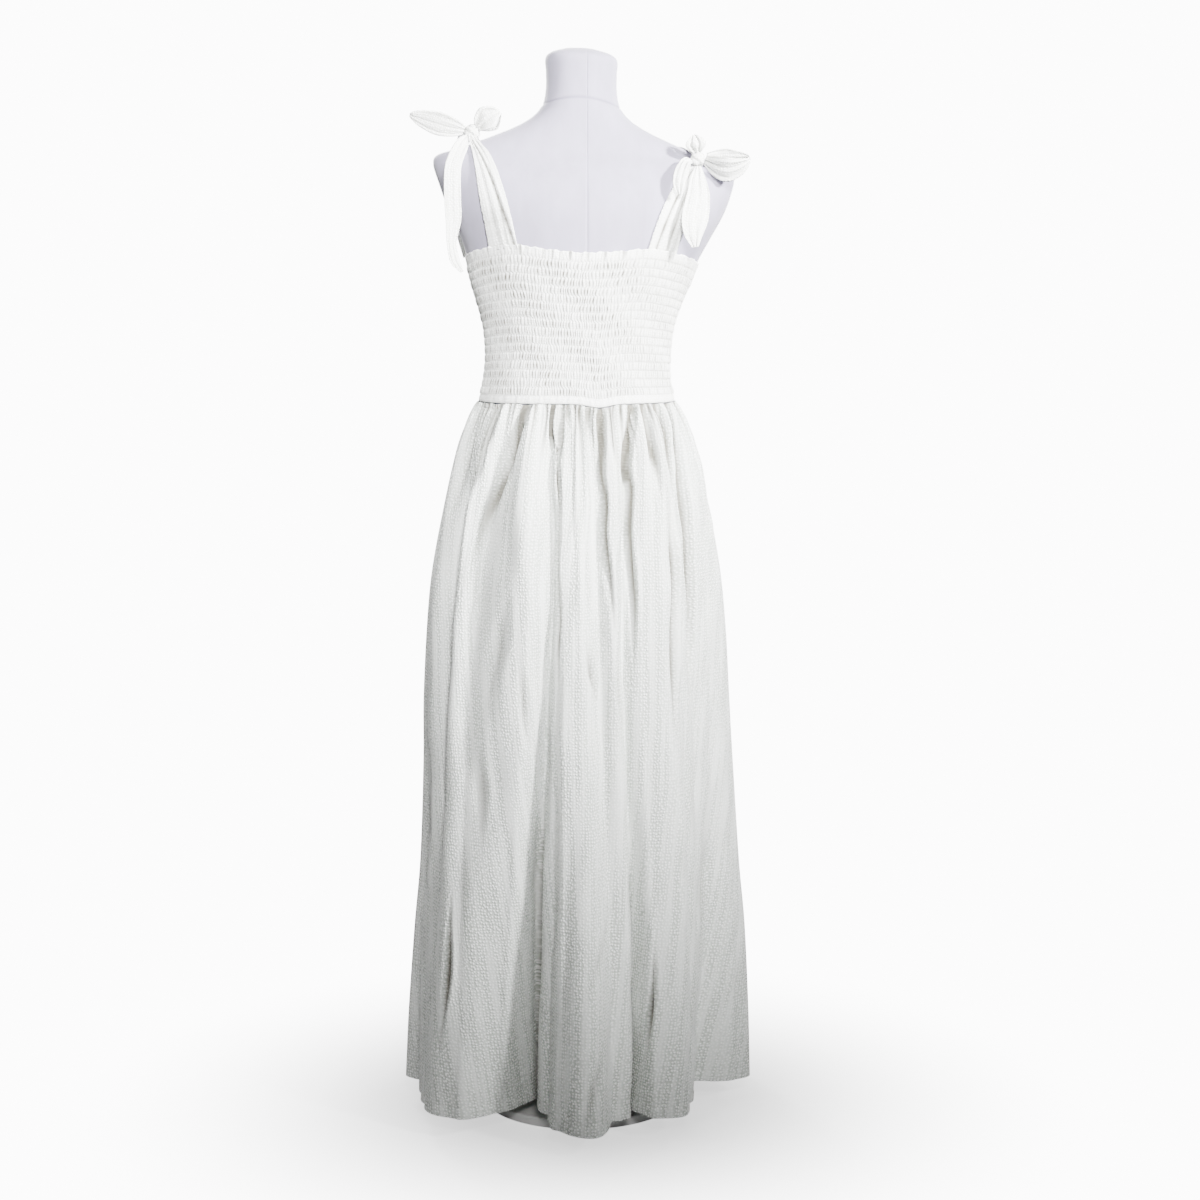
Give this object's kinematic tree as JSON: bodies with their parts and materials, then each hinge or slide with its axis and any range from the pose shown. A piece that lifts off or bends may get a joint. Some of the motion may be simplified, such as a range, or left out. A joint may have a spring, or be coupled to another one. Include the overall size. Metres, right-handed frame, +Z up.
{
  "type": "sundress on a dress form",
  "caption": "Long white sundress with a shirred bodice, tie straps in shoulder bows and a gathered skirt, worn by a limbless dress form on a round base.",
  "frame": {"origin": "centre of the base's underside, on the floor", "axes": "+Z up; the back of the dress, which the picture shows, faces -Y; +X is on the right of someone who looks at the back"},
  "size_m": [0.463, 0.481, 1.383],
  "materials": {
    "cotton": "matt puckered white cotton",
    "jersey": "matt lilac-grey stretch jersey",
    "paint": "satin white powder coat"
  },
  "bodies": {
    "root": {"bodice_back": "cotton", "bodice_front": "cotton", "skirt_back": "cotton", "skirt_front": "cotton", "strap_back_left": "cotton", "strap_back_right": "cotton", "strap_front_left": "cotton", "strap_front_right": "cotton", "bow_left_knot": "cotton", "bow_left_loop_outer": "cotton", "bow_left_loop_inner": "cotton", "bow_left_end_long": "cotton", "bow_left_end_front": "cotton", "bow_right_knot": "cotton", "bow_right_loop_outer": "cotton", "bow_right_loop_upper": "cotton", "bow_right_end_short": "cotton", "bow_right_end_long": "cotton", "form_torso": "jersey", "form_pole": "paint", "form_base": "paint"}
  },
  "joints": []
}
